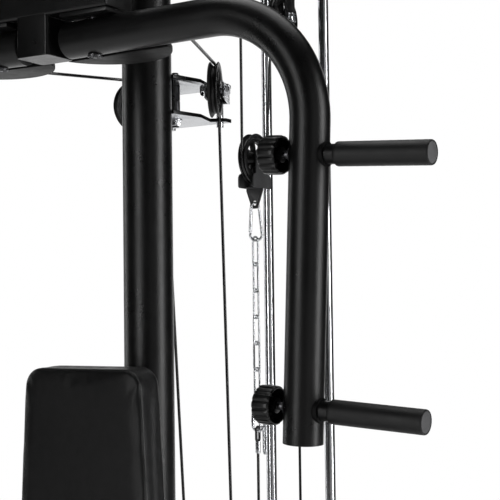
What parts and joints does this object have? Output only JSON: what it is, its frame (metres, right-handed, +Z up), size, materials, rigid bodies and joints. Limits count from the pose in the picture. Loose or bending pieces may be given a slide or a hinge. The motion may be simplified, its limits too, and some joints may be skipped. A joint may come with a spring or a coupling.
{
  "type": "multi station home gym",
  "caption": "Home gym with a round upright, hanging press and butterfly arms, lat pulldown boom, leg lever, guided weight stack and cable pulleys.",
  "frame": {"origin": "underside of the base beam, on the axis of the upright", "axes": "+X is the machine's right when facing it, +Y runs back to the weight stack, +Z up"},
  "size_m": [1.1766, 1.273, 2.1003],
  "materials": {
    "paint": "fine textured satin black powder coat",
    "chrome": "polished chrome plate",
    "zinc": "bright zinc plate",
    "plastic": "moulded black nylon",
    "rubber": "matt black foam rubber",
    "vinyl": "black grained vinyl",
    "iron": "black painted cast plates",
    "sheath": "black nylon cable sheath",
    "board": "dark painted plywood"
  },
  "bodies": {
    "frame": {"base_beam": "paint", "front_foot_bar": "paint", "rear_foot_bar": "paint", "upright": "paint", "top_boom": "paint", "seat_frame": "paint", "backrest_pad": "vinyl", "backrest_board": "board", "backrest_bracket": "paint", "seat_board": "board", "seat_pad": "vinyl", "guide_rod_right": "chrome", "guide_rod_left": "chrome", "lower_plates": "iron", "base_pulley_bracket": "paint", "floating_bracket": "zinc", "pulley_block": "zinc", "chain": "zinc", "swivel_bracket": "paint", "lat_cable": "sheath", "low_cable": "sheath", "butterfly_cable": "sheath"},
    "press_arm": {"press_carrier": "paint"},
    "right_arm": {"arm_right": "paint", "cam_right": "paint", "handle_upper_right": "rubber", "handle_lower_right": "rubber"},
    "left_arm": {"arm_left": "paint", "cam_left": "paint", "handle_upper_left": "rubber", "handle_lower_left": "rubber"},
    "lifted_stack": {"head_plate": "iron", "selector_stem": "chrome", "weight_plate_1": "iron", "weight_plate_2": "iron", "weight_plate_3": "iron"},
    "pin": {"selector_pin": "chrome"},
    "lat_handle": {"lat_bar": "chrome"},
    "right_swivel": {"swivel_fork_right": "zinc"},
    "left_swivel": {"swivel_fork_left": "zinc"},
    "lever": {"leg_lever": "paint"},
    "top_front_pulley_wheel": {"top_front_pulley": "plastic"},
    "top_mid_pulley_wheel": {"top_mid_pulley": "plastic"},
    "top_rear_pulley_wheel": {"top_rear_pulley": "plastic"},
    "floating_pulley_wheel": {"floating_pulley": "plastic"},
    "block_upper_pulley_wheel": {"block_upper_pulley": "plastic"},
    "block_lower_pulley_wheel": {"block_lower_pulley": "plastic"},
    "base_rear_pulley_wheel": {"base_rear_pulley": "plastic"},
    "base_mid_pulley_wheel": {"base_mid_pulley": "plastic"},
    "low_front_pulley_wheel": {"low_front_pulley": "plastic"},
    "swivel_pulley_right_wheel": {"swivel_pulley_right": "plastic"},
    "swivel_pulley_left_wheel": {"swivel_pulley_left": "plastic"},
    "upper_knob_right": {"knob_upper_right": "plastic"},
    "upper_knob_left": {"knob_upper_left": "plastic"},
    "lower_knob_right": {"knob_lower_right": "plastic"},
    "lower_knob_left": {"knob_lower_left": "plastic"},
    "knee_foam_right": {"knee_roller_right": "rubber"},
    "knee_foam_left": {"knee_roller_left": "rubber"},
    "ankle_foam_right": {"ankle_roller_right": "rubber"},
    "ankle_foam_left": {"ankle_roller_left": "rubber"}
  },
  "joints": [
    {"name": "press_swing", "type": "hinge", "parent": "frame", "child": "press_arm", "pos_m": [0, -0.24525, 1.93], "axis": [-1, 0, 0], "range_deg": [0, 30]},
    {"name": "butterfly_right", "type": "hinge", "parent": "press_arm", "child": "right_arm", "pos_m": [0.0857, -0.241, 1.625], "axis": [0, 0, -1], "range_deg": [0, 80], "deforming": ["butterfly_cable"]},
    {"name": "butterfly_left", "type": "hinge", "parent": "press_arm", "child": "left_arm", "pos_m": [-0.0857, -0.241, 1.625], "axis": [0, 0, 1], "range_deg": [0, 80]},
    {"name": "stack_lift", "type": "slide", "parent": "frame", "child": "lifted_stack", "axis": [0, 0, 1], "range_m": [0, 0.55], "deforming": ["lat_cable"]},
    {"name": "pin_pull", "type": "slide", "parent": "lifted_stack", "child": "pin", "axis": [0, 1, 0], "range_m": [0, 0.09]},
    {"name": "lat_pull", "type": "slide", "parent": "frame", "child": "lat_handle", "axis": [0, 0, -1], "range_m": [0, 0.55]},
    {"name": "leg_extension", "type": "hinge", "parent": "frame", "child": "lever", "pos_m": [0, -0.652, 0.455], "axis": [-1, 0, 0], "range_deg": [0, 80]},
    {"name": "top_front_spin", "type": "hinge", "parent": "frame", "child": "top_front_pulley_wheel", "pos_m": [0, -0.4, 1.95], "axis": [1, 0, 0], "continuous": true},
    {"name": "top_mid_spin", "type": "hinge", "parent": "frame", "child": "top_mid_pulley_wheel", "pos_m": [0, 0.245, 1.95], "axis": [1, 0, 0], "continuous": true},
    {"name": "top_rear_spin", "type": "hinge", "parent": "frame", "child": "top_rear_pulley_wheel", "pos_m": [0, 0.4417, 1.793], "axis": [1, 0, 0], "continuous": true},
    {"name": "floating_spin", "type": "hinge", "parent": "frame", "child": "floating_pulley_wheel", "pos_m": [0, 0.3296, 1.517], "axis": [1, 0, 0], "continuous": true},
    {"name": "block_upper_spin", "type": "hinge", "parent": "frame", "child": "block_upper_pulley_wheel", "pos_m": [0, 0.181, 0.575], "axis": [0, 1, 0], "continuous": true},
    {"name": "block_lower_spin", "type": "hinge", "parent": "frame", "child": "block_lower_pulley_wheel", "pos_m": [0, 0.181, 0.47], "axis": [1, 0, 0], "continuous": true},
    {"name": "base_rear_spin", "type": "hinge", "parent": "frame", "child": "base_rear_pulley_wheel", "pos_m": [0, 0.2873, 0.11], "axis": [1, 0, 0], "continuous": true},
    {"name": "base_mid_spin", "type": "hinge", "parent": "frame", "child": "base_mid_pulley_wheel", "pos_m": [0, 0.0964, 0.11], "axis": [1, 0, 0], "continuous": true},
    {"name": "low_front_spin", "type": "hinge", "parent": "frame", "child": "low_front_pulley_wheel", "pos_m": [0, -0.578, 0.11], "axis": [1, 0, 0], "continuous": true},
    {"name": "swivel_right", "type": "hinge", "parent": "frame", "child": "right_swivel", "pos_m": [0.04079, 0.15035, 1.602], "axis": [0, 0, 1], "range_deg": [-10, 10]},
    {"name": "swivel_pulley_right_spin", "type": "hinge", "parent": "right_swivel", "child": "swivel_pulley_right_wheel", "pos_m": [0.066, 0.097, 1.602], "axis": [0.9042, 0.4272, 0], "continuous": true},
    {"name": "swivel_left", "type": "hinge", "parent": "frame", "child": "left_swivel", "pos_m": [-0.0445, 0.1345, 1.586], "axis": [0, 0, 1], "range_deg": [-10, 10]},
    {"name": "swivel_pulley_left_spin", "type": "hinge", "parent": "left_swivel", "child": "swivel_pulley_left_wheel", "pos_m": [-0.074, 0.0834, 1.586], "axis": [0.866, -0.5, 0], "continuous": true},
    {"name": "knob_upper_right_turn", "type": "hinge", "parent": "right_arm", "child": "upper_knob_right", "pos_m": [0.42181, -0.24849, 1.43649], "axis": [0.9972, -0.0418, -0.0628], "continuous": true},
    {"name": "knob_upper_left_turn", "type": "hinge", "parent": "left_arm", "child": "upper_knob_left", "pos_m": [-0.42181, -0.24849, 1.43649], "axis": [-0.9972, -0.0418, -0.0628], "continuous": true},
    {"name": "knob_lower_right_turn", "type": "hinge", "parent": "right_arm", "child": "lower_knob_right", "pos_m": [0.40264, -0.23675, 1.1243], "axis": [0.9972, -0.0418, -0.0628], "continuous": true},
    {"name": "knob_lower_left_turn", "type": "hinge", "parent": "left_arm", "child": "lower_knob_left", "pos_m": [-0.40264, -0.23675, 1.1243], "axis": [-0.9972, -0.0418, -0.0628], "continuous": true},
    {"name": "knee_roller_right_spin", "type": "hinge", "parent": "frame", "child": "knee_foam_right", "pos_m": [0, -0.64, 0.53], "axis": [1, 0, 0], "continuous": true},
    {"name": "knee_roller_left_spin", "type": "hinge", "parent": "frame", "child": "knee_foam_left", "pos_m": [0, -0.64, 0.53], "axis": [1, 0, 0], "continuous": true},
    {"name": "ankle_roller_right_spin", "type": "hinge", "parent": "lever", "child": "ankle_foam_right", "pos_m": [0, -0.652, 0.15], "axis": [1, 0, 0], "continuous": true},
    {"name": "ankle_roller_left_spin", "type": "hinge", "parent": "lever", "child": "ankle_foam_left", "pos_m": [0, -0.652, 0.15], "axis": [1, 0, 0], "continuous": true}
  ],
  "couplings": [
    {"joint": "lat_pull", "follows": "stack_lift", "ratio": 1},
    {"joint": "top_front_spin", "follows": "stack_lift", "rad_per_m": 23.641},
    {"joint": "top_mid_spin", "follows": "stack_lift", "rad_per_m": 23.641},
    {"joint": "top_rear_spin", "follows": "stack_lift", "rad_per_m": 23.641},
    {"joint": "floating_spin", "follows": "stack_lift", "rad_per_m": -23.641}
  ]
}
